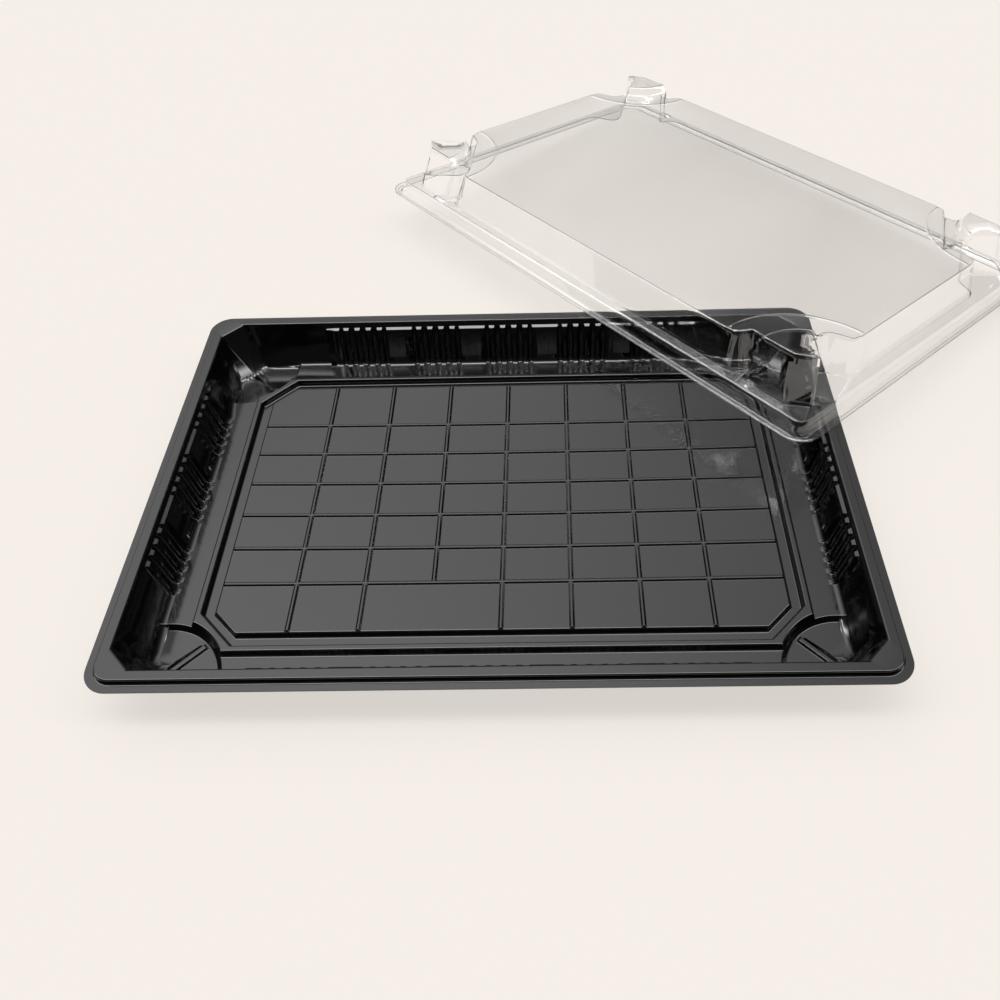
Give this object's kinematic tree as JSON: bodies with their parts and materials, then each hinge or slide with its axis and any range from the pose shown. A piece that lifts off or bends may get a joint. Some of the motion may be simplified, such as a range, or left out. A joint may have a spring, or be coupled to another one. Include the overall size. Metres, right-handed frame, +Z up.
{
  "type": "takeaway sushi tray with clear lid",
  "caption": "Shallow black plastic takeaway sushi tray, its base divided by raised lines, with a clear domed lid lying loose across one corner.",
  "frame": {"origin": "on the ground, under the middle of the box around the tray and its lid", "axes": "+Z up; X along the tray's long side, +Y to the tray's back, where the lid lies"},
  "size_m": [0.5212, 0.5648, 0.0693],
  "materials": {
    "black_polystyrene": "gloss",
    "clear_pet": "clear gloss"
  },
  "bodies": {
    "root": {"tray": "black_polystyrene", "lid": "clear_pet"}
  },
  "joints": []
}
